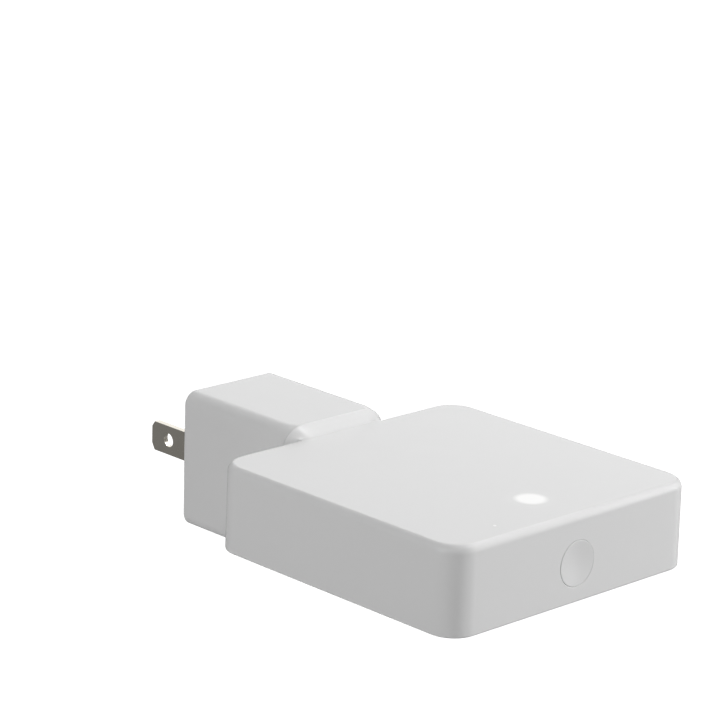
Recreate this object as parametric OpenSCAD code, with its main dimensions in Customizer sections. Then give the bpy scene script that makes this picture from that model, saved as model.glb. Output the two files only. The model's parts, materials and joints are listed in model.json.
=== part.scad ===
// Plug-in wifi range extender: a flat box that stands off the wall on a hollow neck.
// Origin at the middle of the face that meets the wall, midway between the blades.
// +Z is up, +Y points into the wall, and the box's front with its button faces -Y.

/* [Box] */
// Width of the box, side to side
box_w = 66; // [64:0.5:70]
// Depth of the box, front to back
box_d = 65.7; // [65:0.1:70]
// Height of the box
box_h = 17.8; // [17.6:0.1:19]
// Radius of the box's upright corners
corner_r = 5.6; // [4.5:0.1:7]
// Radius of the box's top and bottom edges
edge_r = 1.35; // [0.8:0.05:1.5]
// Thickness of the moulded walls
wall = 1.6; // [1.5:0.05:1.7]

/* [Neck] */
// Length of the neck, from the wall to the box's back
neck_l = 32.8; // [32.6:0.1:36]
// Width of the neck
neck_w = 25.5; // [25.2:0.1:28]
// Height of the neck
neck_h = 29.1; // [29:0.1:31]
// Radius of the neck's long edges
neck_r = 2.8; // [2:0.1:3.2]
// How far the neck's top stands above the box's top
neck_rise = 2.25; // [1.8:0.05:2.4]
// Length of the slope at the neck's front, down to the box's top
slope_run = 2.2; // [1.8:0.1:3]
// How far in front of the box's back face the slope ends
slope_end = 0.6; // [0.4:0.1:1.2]

/* [Button] */
// Diameter of the button's hole in the front
button_hole_d = 10; // [9:0.1:11]
// Depth of the button's centre below the box's top
button_drop = 9.9; // [9.7:0.1:10.1]
// Play round the button
button_play = 0.3; // [0.2:0.05:0.4]
// Depth of the button's dished face
dish_depth = 0.6; // [0.3:0.1:0.8]
// Travel of the button
button_travel = 0.5; // [0.3:0.05:0.5]

/* [Lamp] */
// Distance of the lamp from the box's front
lamp_inset = 11.6; // [11.4:0.1:13]
// Distance of the lamp from the box's middle, to the left
lamp_aside = 1.1; // [0:0.1:1.5]
// Diameter of the thinned skin that the lamp shines through
lamp_d = 6; // [5:0.1:6.4]
// Thickness of that skin
lamp_skin = 0.8; // [0.6:0.05:1]

/* [Plug] */
// Distance between the blades' middles
blade_pitch = 12.7; // [12.7:0.1:12.8]
// Width of a blade, up and down
blade_w = 6.35; // [6.2:0.05:6.5]
// Thickness of a blade
blade_t = 1.5; // [1.4:0.05:1.6]
// Length of a blade in front of the wall face
blade_l = 17.3; // [15.9:0.1:18]
// Diameter of the hole in each blade
blade_hole_d = 3; // [2.8:0.1:3.3]
// Distance of that hole from the wall face
blade_hole_y = 11.7; // [11.5:0.1:12]

/* [Underside] */
// Number of vent slots in each row
vent_count = 9; // [5:2:11]
// Distance between vent slots
vent_pitch = 3; // [2.6:0.1:3]
// Width of a vent slot
vent_w = 1.3; // [1:0.1:1.5]
// Length of the rear row's slots
rear_vent_l = 15; // [10:1:16]
// Length of the front row's slots
front_vent_l = 9; // [6:1:10]

/* [Hidden] */
$fn = 64;
past = 1;           // how far a cutting shape runs past the face that it cuts
gap = 0.15;         // seam between pieces that are assembled to each other
solder = 0.1;       // space between a part and its neighbour on a board
bend_reach = 2.5;   // how far from its corner a wire starts to bend
bend_steps = 6;     // runs in each bend of a wire
wire_sides = 12;    // sides of a wire

// Levels and faces of the case
neck_top = neck_h / 2;
neck_bottom = -neck_h / 2;
top_z = neck_top - neck_rise;
bottom_z = top_z - box_h;
ceiling_z = top_z - wall;
floor_z = bottom_z + wall;
back_y = -neck_l;
front_y = back_y - box_d;
mid_y = (back_y + front_y) / 2;
inner_w = box_w - 2 * wall;
inner_d = box_d - 2 * wall;
inner_r = corner_r - wall;
neck_in = neck_w / 2 - wall;
neck_floor = neck_bottom + wall;

// Main board, clamped between the cover's posts and the shell's bosses
board_t = 1.2;
board_top = floor_z + 3;
board_bottom = board_top - board_t;
board_w = inner_w - 6.8;
board_front = front_y + 4.9;
board_back = back_y - 5.2;
screw_x = 24;
screw_y = [front_y + 10.5, back_y - 9.2];
post_r = 3;
boss_r = 2.6;
screw_r = 1.1;
pilot_r = 0.95;
screw_hole_r = 1.3;
head_r = 2;
head_h = 1.5;
head_seat = bottom_z + 1.9;
screw_top = board_top + 4.9;

// Button and its switch, on one line along Y
button_z = top_z - button_drop;
cap_r = button_hole_d / 2 - button_play;
cap_face = front_y + 0.1;
cap_edge_r = 0.35;
flange_r = cap_r + 0.9;
flange_t = 0.8;
flange_face = front_y + wall + 0.3;
key_w = 1.4;
key_out = 1;
ring_r = flange_r + 0.4;
ring_t = 0.9;
ring_l = 2;
stem_r = 1.6;
stem_end = front_y + 3.7;
switch_gap = 0.3;
switch_size = [6, 3.5, 2 * (button_z - board_top)];
switch_face = board_front + 0.2;
plunger_r = 1.75;
plunger_play = 0.1;
plunger_l = 3.5;
plunger_face = stem_end + switch_gap;
plunger_well = plunger_face + plunger_l + button_travel + plunger_play - switch_face;
rivet_r = 0.5;
rivet_h = 0.2;
rivet_at = [2.3, 2.5];

// Reset switch under the main board, reached through a pinhole
reset_at = [17, front_y + 14];
reset_size = [4.2, 3.2, 1.2];
reset_r = 0.6;
reset_play = 0.1;
reset_l = 0.8;
reset_out = 0.3;
reset_hole_r = 0.8;

// Lamp
lamp_x = -lamp_aside;
lamp_y = front_y + lamp_inset;
guide_head_t = 1.4;
guide_head_r = lamp_d / 2 - 0.2;
guide_r = 1.5;
guide_foot = board_top + 1.1;
collar_t = 1;
collar_l = 2.3;
led_size = [3.5, 2.8, 0.8];
led_lens_r = 1.1;

// Shield, chips and heat sink
shield_size = [30, 28, 2];
shield_y = mid_y - 0.35;
sheet_t = 0.3;
lid_t = 0.25;
lid_skirt = 0.9;
processor_size = [12, 12, 1.1];
processor_at = [-4, shield_y];
memory_size = [8, 12, 1];
memory_at = [8, shield_y];
pad_size = [10, 10];
sink_pad_size = [24, 22, 1];
sink_base_t = 1.5;
fin_count = 8;
fin_t = 1;
fin_h = 4.5;
flash_size = [5.2, 6, 1.7];
flash_at = [20, mid_y + 5.6];
flash_leg = [7.6, 0.4, 0.3];
flash_pitch = 1.27;
crystal_size = [3.2, 2.5, 0.8];
crystal_at = [20.6, mid_y - 3];
inductor_size = [5.2, 5.2, 2.8];
inductor_at = [-2, back_y - 9];
inductor_coil_r = 2.1;
tank_r = 3.15;
tank_h = 7;
tank_at = [-12, back_y - 10.4];
ceramic_size = [0.8, 1.6, 0.8];
ceramic_count = 6;
ceramic_pitch = 3;
ceramic_at = [-22.4, mid_y];

// Antennas, their leads and connectors; the right-hand side mirrors these
antenna_size = [0.8, 34, 12];
antenna_x = inner_w / 2 - 1;
antenna_y = mid_y - 1.4;
antenna_z = floor_z + 7.4;
clip_w = 2;
clip_l = 4.7;
socket_at = [18.5, mid_y - 10.4];
socket_r = 1.5;
socket_h = 0.8;
coax_plug_r = 1.4;
coax_plug_h = 1.9;
coax_r = 0.57;
coax_z = board_top + 2.1;
coax_route = [[29.85, -58, 3.5], [26.5, -58, 3], [socket_at[0], -70, coax_z],
    [socket_at[0], socket_at[1] + coax_plug_r + solder, coax_z]];

// Plug base and blades
base_t = 2.4;
base_boss = [17, 2.4, 10];
tail_l = 6.2;
tail_w = 3;
tail_start = 5;
tip_cut = 1.3;
tip_thin = 0.4;
lead_r = 0.6;
lead_y = -5.45;
lead_x = 9.4;
lead_foot = -8.4;
lead_route = [[blade_pitch / 2 + blade_t / 2, lead_y, 0], [lead_x, lead_y, 0], [lead_x, lead_y, lead_foot]];

// Power board in the neck
power_top = neck_floor + 4.55;
power_bottom = power_top - board_t;
power_w = 2 * (neck_in - 0.75);
power_back = -4.2;
power_front = back_y + wall + 0.2;
power_post = 2.6;
power_post_x = neck_in - 2;
ledge = [1, 3, 1.2];
ledge_play = 0.15;
fuse_r = 1.5;
fuse_l = 6;
fuse_at = [-6.9, -7.7];
varistor_r = 3.4;
varistor_t = 3.2;
varistor_y = -6.8;
choke_r = 2.1;
choke_waist_r = 1.5;
choke_h = 4.6;
choke_at = [7, -7.2];
bridge_size = [4.7, 3.8, 2.4];
bridge_at = [0, -10];
controller_size = [5, 4, 1.5];
controller_at = [-3, -24.3];
input_cap_r = 4;
input_cap_h = 16;
input_cap_x = 5.2;
input_cap_y = -13.5;
trafo_at = [-2.6, -24.3];
bobbin_size = [13, 12, 2.5];
core_size = [13, 6, 12.5];
core_leg = 3.2;
core_side = 1.8;
core_yoke = 2.2;
winding_w = 9.4;
winding_d = 11;
pin_r = 0.35;
pin_pitch = 2.4;
pin_row = 5;
pin_play = 0.1;
pin_down = 2.4;
output_cap_r = 3.15;
output_cap_h = 11;
output_cap_at = [7.2, -21.6];
diode_r = 1.3;
diode_l = 4;
diode_at = [6.4, -26.3];
y_cap_r = 3.2;
y_cap_t = 2.4;
y_cap_pin = 2.3;
y_cap_at = [7.4, -29.3];
wire_r = 0.3;
cap_bead = 0.35;
cap_bead_z = 1.6;
dc_size = [6, 4.5, 6];
dc_at = [8.4, back_y - 8.4];
dc_pitch = 2;
dc_r = 0.6;
dc_top = board_top + dc_size[2];
dc_peak = dc_top + 2;
red_x = dc_at[0] + dc_pitch / 2;
black_x = dc_at[0] - dc_pitch / 2;
red_from = -26.3;
black_from = -24.8;
red_route = [[red_x, red_from, power_top], [red_x, red_from, 2],
    [red_x, dc_at[1], dc_peak], [red_x, dc_at[1], dc_top]];
black_route = [[red_x, black_from, power_top], [red_x, black_from, 4],
    [black_x, dc_at[1], dc_peak], [black_x, dc_at[1], dc_top]];
sheet_size = [2 * (power_post_x - 1.6), 25.6, 0.3];

// Label and vents on the underside
label_size = [36, 14, 0.2];
label_recess = 0.3;
label_r = 1;
label_y = mid_y - 3.2;
rear_vent_y = back_y - 12;
front_vent_y = front_y + 13;

// ---- shapes that repeat ----

// Rectangle with round corners, about the origin
module round_rect(w, d, r) {
    square([w - 2 * r, d], center = true);
    square([w, d - 2 * r], center = true);
    for (x = [-1, 1], y = [-1, 1])
        translate([x * (w / 2 - r), y * (d / 2 - r)]) circle(r);
}

// Upright half section of a slab's side, with both its edges round
module side_section(run, h, e) {
    square([run - e, h]);
    translate([0, e]) square([run, h - 2 * e]);
    for (z = [e, h - e]) translate([run - e, z]) circle(e);
}

// Slab with round upright corners and round top and bottom edges
module soft_slab(w, d, h, r, e) {
    a = w / 2 - r;
    b = d / 2 - r;
    translate([-a, -b, 0]) cube([2 * a, 2 * b, h]);
    for (turn = [0, 180]) rotate([0, 0, turn]) {
        translate([a, b, 0]) rotate_extrude(angle = 90) side_section(r, h, e);
        translate([-a, b, 0]) rotate([0, 0, 90]) rotate_extrude(angle = 90) side_section(r, h, e);
        translate([a, 0, 0]) rotate([90, 0, 0]) linear_extrude(2 * b, center = true)
            side_section(r, h, e);
        translate([0, b, 0]) rotate([90, 0, 90]) linear_extrude(2 * a, center = true)
            side_section(r, h, e);
    }
}

// Box of the given size, standing on z and centred on the point at
module block(at, size, z) {
    translate([at[0] - size[0] / 2, at[1] - size[1] / 2, z]) cube(size);
}

// Cylinder that lies along Y and starts at y
module along_y(r, y, l, x = 0, z = 0) {
    translate([x, y, z]) rotate([-90, 0, 0]) cylinder(r = r, h = l);
}

// Cylinder that lies along X, centred on the point at
module along_x(r, l, at, z) {
    translate([at[0], at[1], z]) rotate([0, 90, 0]) cylinder(r = r, h = l, center = true);
}

// The same route on the other side of the middle plane when side is -1
function on_side(route, side) = [for (p = route) [side * p[0], p[1], p[2]]];

function unit(v) = v / norm(v);

// Points of a parabola that rounds the corner b of the run a, b, c
function corner(a, b, c) =
    let (
        from = b + unit(a - b) * min(bend_reach, norm(a - b) / 2.2),
        to = b + unit(c - b) * min(bend_reach, norm(c - b) / 2.2)
    )
    [for (i = [0 : bend_steps]) let (t = i / bend_steps) (1 - t) ^ 2 * from + 2 * t * (1 - t) * b + t ^ 2 * to];

// A route with each of its corners rounded
function rounded(route) = [
    route[0],
    for (i = [1 : len(route) - 2]) each corner(route[i - 1], route[i], route[i + 1]),
    route[len(route) - 1]
];

// Direction of the line at its point i
function heading(line, i) = unit(line[min(i + 1, len(line) - 1)] - line[max(i - 1, 0)]);

// Sideways directions along the line, each turned as little as possible from the one before
function sideways(line, i, last) =
    let (t = heading(line, i), n = unit(last - (last * t) * t))
    i == len(line) - 1 ? [n] : [n, each sideways(line, i + 1, n)];

// Wire of radius r along a route
module strand(route, r) {
    line = rounded(route);
    first = heading(line, 0);
    normals = sideways(line, 0, abs(first[2]) < 0.7 ? [0, 0, 1] : [1, 0, 0]);
    count = len(line);
    rings = [
        for (i = [0 : count - 1], j = [0 : wire_sides - 1])
            let (n = normals[i], b = cross(heading(line, i), n), a = 360 * j / wire_sides)
            line[i] + r * (cos(a) * n + sin(a) * b)
    ];
    walls = [
        for (i = [0 : count - 2], j = [0 : wire_sides - 1])
            let (k = (j + 1) % wire_sides)
            [i * wire_sides + j, (i + 1) * wire_sides + j, (i + 1) * wire_sides + k, i * wire_sides + k]
    ];
    ends = [
        [for (j = [0 : wire_sides - 1]) j],
        [for (j = [1 : wire_sides]) count * wire_sides - j]
    ];
    polyhedron(points = rings, faces = concat(walls, ends));
}

// Runs its children at each of the four case screws
module at_screws() {
    for (side = [-1, 1], y = screw_y) translate([side * screw_x, y, 0]) children();
}

// Electrolytic can with a rolled bead near its foot and a cross on its lid
module can(at, r, h, z) {
    difference() {
        translate([at[0], at[1], z]) cylinder(r = r, h = h);
        translate([at[0], at[1], z + cap_bead_z]) rotate_extrude() translate([r + cap_bead / 2, 0])
            circle(cap_bead);
        for (turn = [0, 90]) translate([at[0], at[1], z + h]) rotate([0, 0, turn])
            cube([1.3 * r, cap_bead, cap_bead], center = true);
    }
}

// ---- outside of the case ----

// Neck, with a slope at its front where its top stands above the box's top
module neck_form() {
    intersection() {
        rotate([90, 0, 0]) linear_extrude(neck_l + slope_end) round_rect(neck_w, neck_h, neck_r);
        rotate([90, 0, 90]) linear_extrude(2 * neck_w, center = true) polygon([
            [past, -neck_h],
            [back_y, -neck_h],
            [back_y, bottom_z + edge_r],
            [back_y - slope_end, bottom_z + edge_r],
            [back_y - slope_end, top_z],
            [back_y - slope_end + slope_run, neck_top],
            [past, neck_top]
        ]);
    }
}

// The closed outer form, which the shell and the cover share
module outer_form() {
    translate([0, mid_y, bottom_z]) soft_slab(box_w, box_d, box_h, corner_r, edge_r);
    neck_form();
}

// Hollow inside the case, open at the bottom and at the wall end
module hollow() {
    translate([0, mid_y, bottom_z - past])
        linear_extrude(ceiling_z - bottom_z + past) round_rect(inner_w, inner_d, inner_r);
    translate([-neck_in, back_y - wall - past, neck_bottom - past])
        cube([2 * neck_in, neck_l + wall + 2 * past, ceiling_z - neck_bottom + past]);
    translate([-neck_in, back_y + wall, neck_bottom - past])
        cube([2 * neck_in, neck_l - wall + past, neck_h - wall + past]);
}

// ---- case ----

module main_shell() color([0.95, 0.95, 0.95]) {
    difference() {
        outer_form();
        hollow();
        along_y(button_hole_d / 2, front_y - past, wall + 2 * past, z = button_z);
        translate([lamp_x, lamp_y, ceiling_z - past])
            cylinder(d = lamp_d, h = top_z - lamp_skin - ceiling_z + past);
    }
    shell_bosses();
    lamp_collar();
    button_guide();
    antenna_clips();
    board_ledges();
}

// Bosses that the case screws bite into
module shell_bosses() {
    at_screws() difference() {
        translate([0, 0, board_top]) cylinder(r = boss_r, h = ceiling_z - board_top);
        translate([0, 0, board_top - past]) cylinder(r = pilot_r, h = screw_top - board_top + 2 * past);
    }
}

// Ring that holds the light guide's head
module lamp_collar() {
    translate([lamp_x, lamp_y, ceiling_z - collar_l]) difference() {
        cylinder(r = lamp_d / 2 + collar_t, h = collar_l);
        translate([0, 0, -past]) cylinder(r = lamp_d / 2, h = collar_l + 2 * past);
    }
}

// Ring behind the button's hole, with a notch for the button's key
module button_guide() {
    intersection() {
        difference() {
            along_y(ring_r + ring_t, front_y + wall, ring_l, z = button_z);
            along_y(ring_r, front_y + wall - past, ring_l + 2 * past, z = button_z);
            translate([-key_w / 2 - button_play, front_y, button_z])
                cube([key_w + 2 * button_play, wall + ring_l + past, 2 * ring_r]);
        }
        translate([-ring_r - past, front_y, floor_z + past / 2])
            cube([2 * (ring_r + past), 2 * ring_r, box_h]);
    }
}

// Ribs that hold the antenna boards against the sides
module antenna_clips() {
    rib_x = antenna_x - antenna_size[0] / 2 - solder - sheet_t * 2;
    for (side = [-1, 1], end = [-1, 1])
        block([side * rib_x, antenna_y + end * (antenna_size[1] / 2 - clip_w)],
            [sheet_t * 4 - 2 * solder, clip_w, clip_l], ceiling_z - clip_l);
}

// Ledges on the neck's sides that keep the power board down
module board_ledges() {
    for (side = [-1, 1], y = [power_back - ledge[1], power_front + ledge[1]])
        block([side * (neck_in - ledge[0] / 2), y], ledge, power_top + ledge_play);
}

module bottom_cover() color([0.93, 0.93, 0.93]) {
    difference() {
        union() {
            cover_panel();
            at_screws() translate([0, 0, bottom_z + wall / 2])
                cylinder(r = post_r, h = board_bottom - bottom_z - wall / 2);
        }
        at_screws() translate([0, 0, bottom_z - past]) {
            cylinder(r = head_r + gap * 2, h = head_seat - bottom_z + past);
            cylinder(r = screw_hole_r, h = box_h);
        }
        vents(rear_vent_y, rear_vent_l);
        vents(front_vent_y, front_vent_l);
        translate([reset_at[0], reset_at[1], bottom_z - past]) cylinder(r = reset_hole_r, h = wall + 2 * past);
        translate([0, label_y, bottom_z - past]) linear_extrude(label_recess + past)
            round_rect(label_size[0] + 2 * gap, label_size[1] + 2 * gap, label_r + gap);
    }
    for (side = [-1, 1], y = [power_back - power_post, power_front + power_post])
        block([side * power_post_x, y], [power_post, power_post, power_bottom - neck_floor], neck_floor);
}

// The cover's stepped panel: the box's underside, the step up from the neck, and the neck's underside
module cover_panel() {
    intersection() {
        outer_form();
        union() {
            translate([0, mid_y, bottom_z - past]) linear_extrude(wall + past)
                round_rect(inner_w - 2 * gap, inner_d - 2 * gap, inner_r - gap);
            translate([gap - neck_in, back_y - 2 * wall, bottom_z])
                cube([2 * (neck_in - gap), 3 * wall, wall]);
            translate([gap - neck_in, back_y, neck_bottom])
                cube([2 * (neck_in - gap), wall, floor_z - neck_bottom]);
            translate([gap - neck_in, back_y, neck_bottom - past])
                cube([2 * (neck_in - gap), neck_l + past, wall + past]);
        }
    }
}

// Row of round-ended vent slots that run along Y
module vents(y, l) {
    for (i = [0 : vent_count - 1])
        translate([(i - (vent_count - 1) / 2) * vent_pitch, y, bottom_z - past])
            linear_extrude(wall + 2 * past) {
                square([vent_w, l - vent_w], center = true);
                for (end = [-1, 1]) translate([0, end * (l - vent_w) / 2]) circle(vent_w / 2);
            }
}

module plug_base() color([0.9, 0.9, 0.9]) difference() {
    union() {
        translate([gap - neck_in, -base_t, neck_floor + gap])
            cube([2 * (neck_in - gap), base_t, neck_h - 2 * wall - 2 * gap]);
        translate([-base_boss[0] / 2, -base_t - base_boss[1], -base_boss[2] / 2]) cube(base_boss);
    }
    for (side = [-1, 1])
        block([side * blade_pitch / 2, 0], [blade_t, 2 * neck_l, blade_w], -blade_w / 2);
}

// Flat blade: narrow tail inside, thinned and bevelled tip outside, and a hole across it
module blade(side) color([0.8, 0.78, 0.73]) translate([side * blade_pitch / 2, 0, 0]) difference() {
    intersection() {
        rotate([90, 0, 90]) linear_extrude(blade_t, center = true) polygon([
            [-tail_l, -tail_w / 2],
            [-tail_start, -tail_w / 2],
            [-tail_start, -blade_w / 2],
            [blade_l - tip_cut, -blade_w / 2],
            [blade_l, tip_cut - blade_w / 2],
            [blade_l, blade_w / 2 - tip_cut],
            [blade_l - tip_cut, blade_w / 2],
            [-tail_start, blade_w / 2],
            [-tail_start, tail_w / 2],
            [-tail_l, tail_w / 2]
        ]);
        linear_extrude(2 * blade_w, center = true) polygon([
            [-blade_t / 2, -tail_l],
            [blade_t / 2, -tail_l],
            [blade_t / 2, blade_l - tip_cut],
            [blade_t / 2 - tip_thin, blade_l],
            [tip_thin - blade_t / 2, blade_l],
            [-blade_t / 2, blade_l - tip_cut]
        ]);
    }
    along_x(blade_hole_d / 2, 2 * blade_t, [0, blade_hole_y], 0);
}

module plug_blade_left() blade(-1);
module plug_blade_right() blade(1);

module blade_leads() color([0.85, 0.85, 0.85]) for (side = [-1, 1])
    strand(on_side(lead_route, side), lead_r);

// Pan head screws with a cross recess
module case_screws() color([0.6, 0.6, 0.62]) at_screws() {
    difference() {
        translate([0, 0, head_seat - head_h]) cylinder(r = head_r, h = head_h);
        for (turn = [0, 90]) translate([0, 0, head_seat - head_h]) rotate([0, 0, turn])
            cube([1.2 * head_r, head_r / 4, head_h], center = true);
    }
    translate([0, 0, head_seat]) cylinder(r = screw_r, h = screw_top - head_seat);
}

module rating_label() color([0.85, 0.86, 0.87]) translate([0, label_y, bottom_z + label_recess - label_size[2]])
    linear_extrude(label_size[2]) round_rect(label_size[0], label_size[1], label_r);

// ---- button and switches ----

module wps_button() color([0.95, 0.95, 0.95]) {
    dish_edge = cap_r - cap_edge_r;
    dish_r = (dish_edge * dish_edge + dish_depth * dish_depth) / (2 * dish_depth);
    difference() {
        translate([0, cap_face, button_z]) rotate([-90, 0, 0]) rotate_extrude() {
            square([cap_r - cap_edge_r, flange_face - cap_face]);
            translate([0, cap_edge_r]) square([cap_r, flange_face - cap_face - cap_edge_r]);
            translate([cap_r - cap_edge_r, cap_edge_r]) circle(cap_edge_r);
        }
        translate([0, cap_face + dish_depth - dish_r, button_z]) sphere(dish_r, $fn = 128);
    }
    along_y(flange_r, flange_face, flange_t, z = button_z);
    translate([-key_w / 2, flange_face, button_z]) cube([key_w, flange_t, flange_r + key_out]);
    along_y(stem_r, flange_face, stem_end - flange_face, z = button_z);
}

module wps_switch_body() color([0.2, 0.2, 0.21]) {
    difference() {
        block([0, switch_face + switch_size[1] / 2], switch_size, board_top);
        along_y(plunger_r + plunger_play, switch_face - past, plunger_well + past, z = button_z);
    }
    for (x = [-1, 1], z = [-1, 1])
        along_y(rivet_r, switch_face - rivet_h, 2 * rivet_h, x = x * rivet_at[0], z = button_z + z * rivet_at[1]);
}

module wps_switch_plunger() color([0.15, 0.15, 0.15])
    along_y(plunger_r, plunger_face, plunger_l, z = button_z);

module reset_switch_body() color([0.75, 0.75, 0.76]) difference() {
    block(reset_at, reset_size, board_bottom - reset_size[2]);
    translate([reset_at[0], reset_at[1], board_bottom - reset_size[2] - past])
        cylinder(r = reset_r + reset_play, h = reset_l + past);
}

module reset_switch_plunger() color([0.15, 0.15, 0.15])
    translate([reset_at[0], reset_at[1], board_bottom - reset_size[2] - reset_out])
        cylinder(r = reset_r, h = reset_l);

// ---- lamp ----

module light_guide() color([0.9, 0.95, 1, 0.6]) {
    head_z = top_z - lamp_skin - solder - guide_head_t;
    translate([lamp_x, lamp_y, head_z]) cylinder(r = guide_head_r, h = guide_head_t);
    translate([lamp_x, lamp_y, guide_foot]) cylinder(r = guide_r, h = head_z - guide_foot);
}

module status_led() color([0.95, 0.93, 0.8]) difference() {
    block([lamp_x, lamp_y], led_size, board_top);
    translate([lamp_x, lamp_y, board_top + led_size[2] / 2]) cylinder(r = led_lens_r, h = led_size[2]);
}

// ---- main board ----

module main_pcb() color([0.1, 0.35, 0.2]) difference() {
    translate([0, (board_front + board_back) / 2, board_bottom])
        linear_extrude(board_t) round_rect(board_w, board_back - board_front, 2);
    at_screws() translate([0, 0, board_bottom - past]) cylinder(r = screw_hole_r, h = board_t + 2 * past);
}

module shield_frame() color([0.75, 0.75, 0.76]) difference() {
    block([0, shield_y], shield_size, board_top);
    block([0, shield_y], [shield_size[0] - 2 * sheet_t, shield_size[1] - 2 * sheet_t, 2 * shield_size[2]],
        board_top - past);
}

// Lid with a skirt that clips over the frame
module shield_lid() color([0.78, 0.78, 0.8]) {
    lid_x = shield_size[0] + 2 * (sheet_t + solder);
    lid_y = shield_size[1] + 2 * (sheet_t + solder);
    rim_z = board_top + shield_size[2];
    difference() {
        block([0, shield_y], [lid_x, lid_y, lid_t + lid_skirt], rim_z - lid_skirt);
        block([0, shield_y], [lid_x - 2 * sheet_t, lid_y - 2 * sheet_t, lid_skirt + past], rim_z - lid_skirt - past);
    }
}

module wifi_processor() color([0.12, 0.12, 0.13]) block(processor_at, processor_size, board_top);

module memory_chip() color([0.12, 0.12, 0.13]) block(memory_at, memory_size, board_top);

module processor_thermal_pad() color([0.55, 0.62, 0.7])
    block(processor_at, [pad_size[0], pad_size[1], shield_size[2] - processor_size[2]],
        board_top + processor_size[2]);

module heatsink_thermal_pad() color([0.55, 0.62, 0.7])
    block([0, shield_y], sink_pad_size, board_top + shield_size[2] + lid_t);

module heatsink() color([0.8, 0.81, 0.82]) {
    foot_z = board_top + shield_size[2] + lid_t + sink_pad_size[2];
    fin_pitch = (shield_size[0] - fin_t) / (fin_count - 1);
    block([0, shield_y], [shield_size[0], shield_size[1], sink_base_t], foot_z);
    for (i = [0 : fin_count - 1])
        block([(i - (fin_count - 1) / 2) * fin_pitch, shield_y], [fin_t, shield_size[1], sink_base_t + fin_h],
            foot_z);
}

// Eight-legged memory chip
module flash_chip() color([0.12, 0.12, 0.13]) {
    block(flash_at, flash_size, board_top);
    for (i = [-1.5 : 1.5]) block([flash_at[0], flash_at[1] + i * flash_pitch], flash_leg, board_top);
}

module clock_crystal() color([0.8, 0.8, 0.8]) block(crystal_at, crystal_size, board_top);

module power_inductor() color([0.25, 0.25, 0.27]) {
    block(inductor_at, [inductor_size[0], inductor_size[1], inductor_size[2] / 2], board_top);
    translate([inductor_at[0], inductor_at[1], board_top]) cylinder(r = inductor_coil_r, h = inductor_size[2]);
}

module tank_capacitor() color([0.2, 0.22, 0.3]) can(tank_at, tank_r, tank_h, board_top);

module ceramic_capacitors() color([0.7, 0.55, 0.4]) for (i = [0 : ceramic_count - 1])
    block([ceramic_at[0], ceramic_at[1] + (i - ceramic_count / 2) * ceramic_pitch], ceramic_size, board_top);

// ---- antennas ----

module antenna(side) color([0.1, 0.35, 0.2])
    block([side * antenna_x, antenna_y], antenna_size, antenna_z - antenna_size[2] / 2);

module antenna_left() antenna(-1);
module antenna_right() antenna(1);

module antenna_leads() color([0.15, 0.15, 0.15]) for (side = [-1, 1])
    strand(on_side(coax_route, side), coax_r);

module antenna_connectors() color([0.85, 0.7, 0.35]) for (side = [-1, 1])
    translate([side * socket_at[0], socket_at[1], board_top]) {
        cylinder(r = socket_r, h = socket_h);
        translate([0, 0, socket_h]) cylinder(r = coax_plug_r, h = coax_plug_h);
    }

// ---- power board ----

module power_pcb() color([0.75, 0.62, 0.35]) difference() {
    translate([-power_w / 2, power_front, power_bottom]) cube([power_w, power_back - power_front, board_t]);
    translate([0, 0, power_bottom - past]) bobbin_pins(pin_r + pin_play, board_t + 2 * past);
}

module fusible_resistor() color([0.5, 0.65, 0.6]) {
    along_x(fuse_r, fuse_l, fuse_at, power_top + fuse_r + solder);
    for (end = [-1, 1]) translate([fuse_at[0] + end * (fuse_l / 2 - wire_r), fuse_at[1], power_top])
        cylinder(r = wire_r, h = fuse_r);
}

module varistor() color([0.15, 0.3, 0.6]) {
    along_y(varistor_r, varistor_y - varistor_t / 2, varistor_t, z = power_top + varistor_r + 2 * solder);
    for (x = [-2.5, 2.5]) translate([x, varistor_y, power_top]) cylinder(r = wire_r, h = varistor_r);
}

// Drum choke with two flanges and a waist
module input_choke() color([0.3, 0.3, 0.32]) translate([choke_at[0], choke_at[1], power_top]) {
    cylinder(r = choke_waist_r, h = choke_h);
    cylinder(r = choke_r, h = choke_h / 4);
    translate([0, 0, 3 * choke_h / 4]) cylinder(r = choke_r, h = choke_h / 4);
}

module bridge_rectifier() color([0.12, 0.12, 0.13])
    block(bridge_at, bridge_size, power_bottom - bridge_size[2]);

module controller_chip() color([0.12, 0.12, 0.13])
    block(controller_at, controller_size, power_bottom - controller_size[2]);

module input_capacitors() color([0.15, 0.15, 0.18]) for (side = [-1, 1])
    can([side * input_cap_x, input_cap_y], input_cap_r, input_cap_h, power_top);

// The two rows of pins under the transformer, from z = 0 up
module bobbin_pins(r, h) {
    for (row = [-1, 1], i = [-2 : 2])
        translate([trafo_at[0] + i * pin_pitch, trafo_at[1] + row * pin_row, 0]) cylinder(r = r, h = h);
}

// Moulded base with pins through the power board
module transformer_bobbin() color([0.15, 0.15, 0.15]) {
    block(trafo_at, bobbin_size, power_top);
    translate([0, 0, power_top + solder - pin_down]) bobbin_pins(pin_r, pin_down);
}

// Ferrite frame with a middle leg
module transformer_core() color([0.25, 0.25, 0.27]) {
    window = (core_size[0] - core_leg - 2 * core_side) / 2;
    difference() {
        block(trafo_at, core_size, power_top + bobbin_size[2]);
        for (side = [-1, 1])
            block([trafo_at[0] + side * (core_leg + window) / 2, trafo_at[1]],
                [window, 2 * core_size[1], core_size[2] - 2 * core_yoke],
                power_top + bobbin_size[2] + core_yoke);
    }
}

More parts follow.
